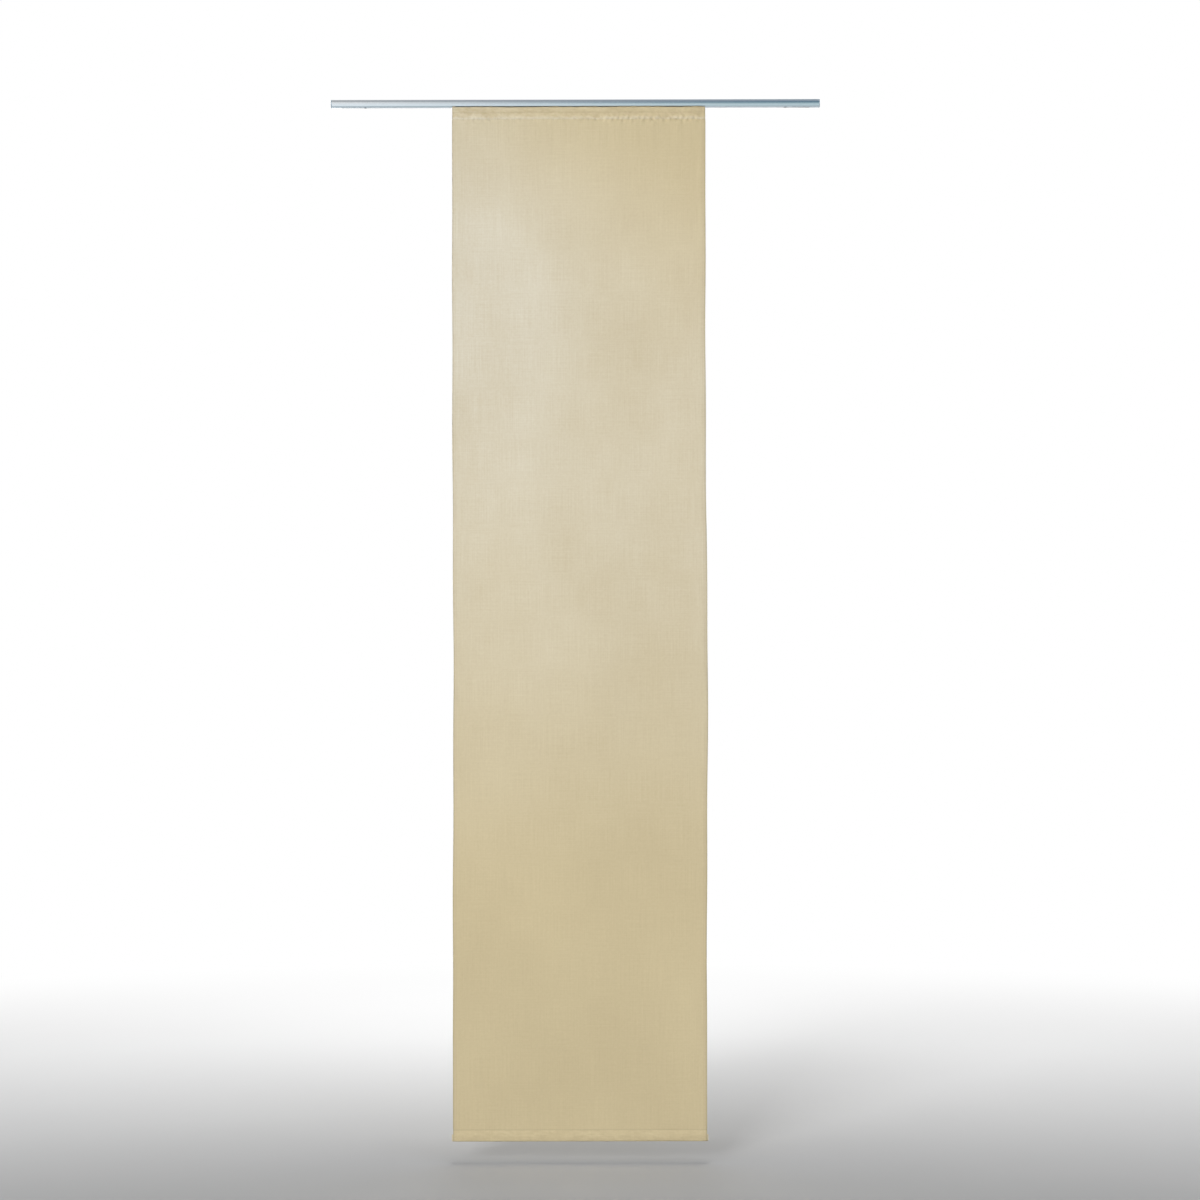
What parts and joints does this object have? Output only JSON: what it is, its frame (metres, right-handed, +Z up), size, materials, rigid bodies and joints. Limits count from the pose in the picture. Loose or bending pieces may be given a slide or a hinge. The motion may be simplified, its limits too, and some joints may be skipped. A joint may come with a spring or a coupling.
{
  "type": "panel curtain",
  "caption": "Flat cloth panel with a weighted bottom hem, hung by hook and loop tape from a carrier that slides under a round ceiling rail.",
  "frame": {"origin": "middle of the flat seat on top of the rail, where it meets the ceiling", "axes": "+X along the rail to the right as seen from the room, +Y away from the room, +Z up out of the seat"},
  "size_m": [1.164, 0.022, 2.4692],
  "materials": {
    "rail_aluminium": "satin anodised, silver with a cool cast",
    "carrier_aluminium": "mill finish",
    "cap_plastic": "matt, silver grey",
    "pale_plastic": "matt, off-white",
    "plug_plastic": "matt, beige to match the cloth",
    "glider_plastic": "smooth white acetal",
    "tape": "woven nylon tape with hooks or loops",
    "cloth": "plain-woven beige microfibre, matt"
  },
  "bodies": {
    "rail_body": {"rail": "rail_aluminium", "rail_end_cap_left": "cap_plastic", "rail_end_cap_right": "cap_plastic"},
    "panel_body": {"panel_carrier": "carrier_aluminium", "carrier_end_cap_left": "pale_plastic", "carrier_end_cap_right": "pale_plastic", "glider_1": "glider_plastic", "glider_2": "glider_plastic", "glider_3": "glider_plastic", "glider_4": "glider_plastic", "glider_5": "glider_plastic", "hook_tape": "tape", "loop_tape": "tape", "curtain_panel": "cloth", "weight_bar": "carrier_aluminium", "weight_bar_plug_left": "plug_plastic", "weight_bar_plug_right": "plug_plastic"}
  },
  "joints": [
    {"name": "panel_slide", "type": "slide", "parent": "rail_body", "child": "panel_body", "axis": [1, 0, 0], "range_m": [-0.2865, 0.2725]}
  ]
}
